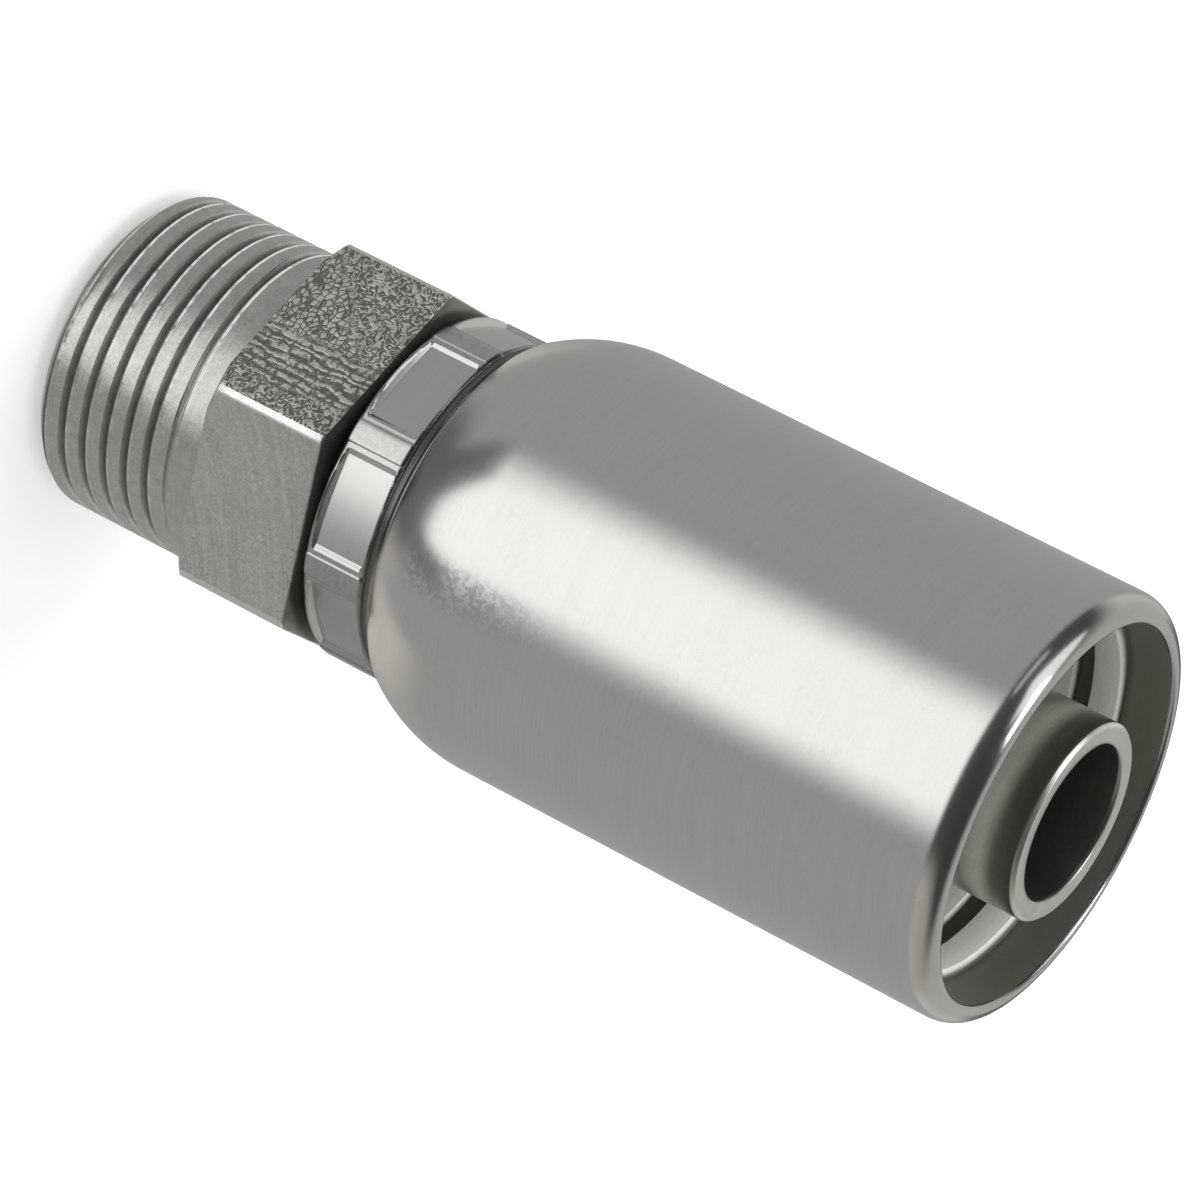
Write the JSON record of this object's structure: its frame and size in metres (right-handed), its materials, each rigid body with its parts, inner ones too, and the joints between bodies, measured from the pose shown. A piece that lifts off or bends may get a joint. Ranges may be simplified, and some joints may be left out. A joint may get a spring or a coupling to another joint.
{
  "type": "male orfs hose fitting",
  "caption": "Straight crimp hose fitting: male thread with a sealing ring in its end face, wrench hexagon, and a domed shell crimped over a barbed tail.",
  "frame": {"origin": "on the fitting's axis, at the lowest point of the rubber ring that it stands on", "axes": "+Z along the axis from the sealing face to the open mouth for the hose, +X square to one pair of hexagon flats, -Y towards a corner of the hexagon"},
  "size_m": [0.0274, 0.0274, 0.0689],
  "materials": {
    "plated_steel": "zinc plated over turned and forged steel, satin",
    "polished_steel": "bright zinc plated, finely turned, half gloss",
    "black_rubber": "smooth moulded nitrile"
  },
  "bodies": {
    "root": {"stem": "plated_steel", "shell": "polished_steel", "face_seal": "black_rubber"}
  },
  "joints": []
}
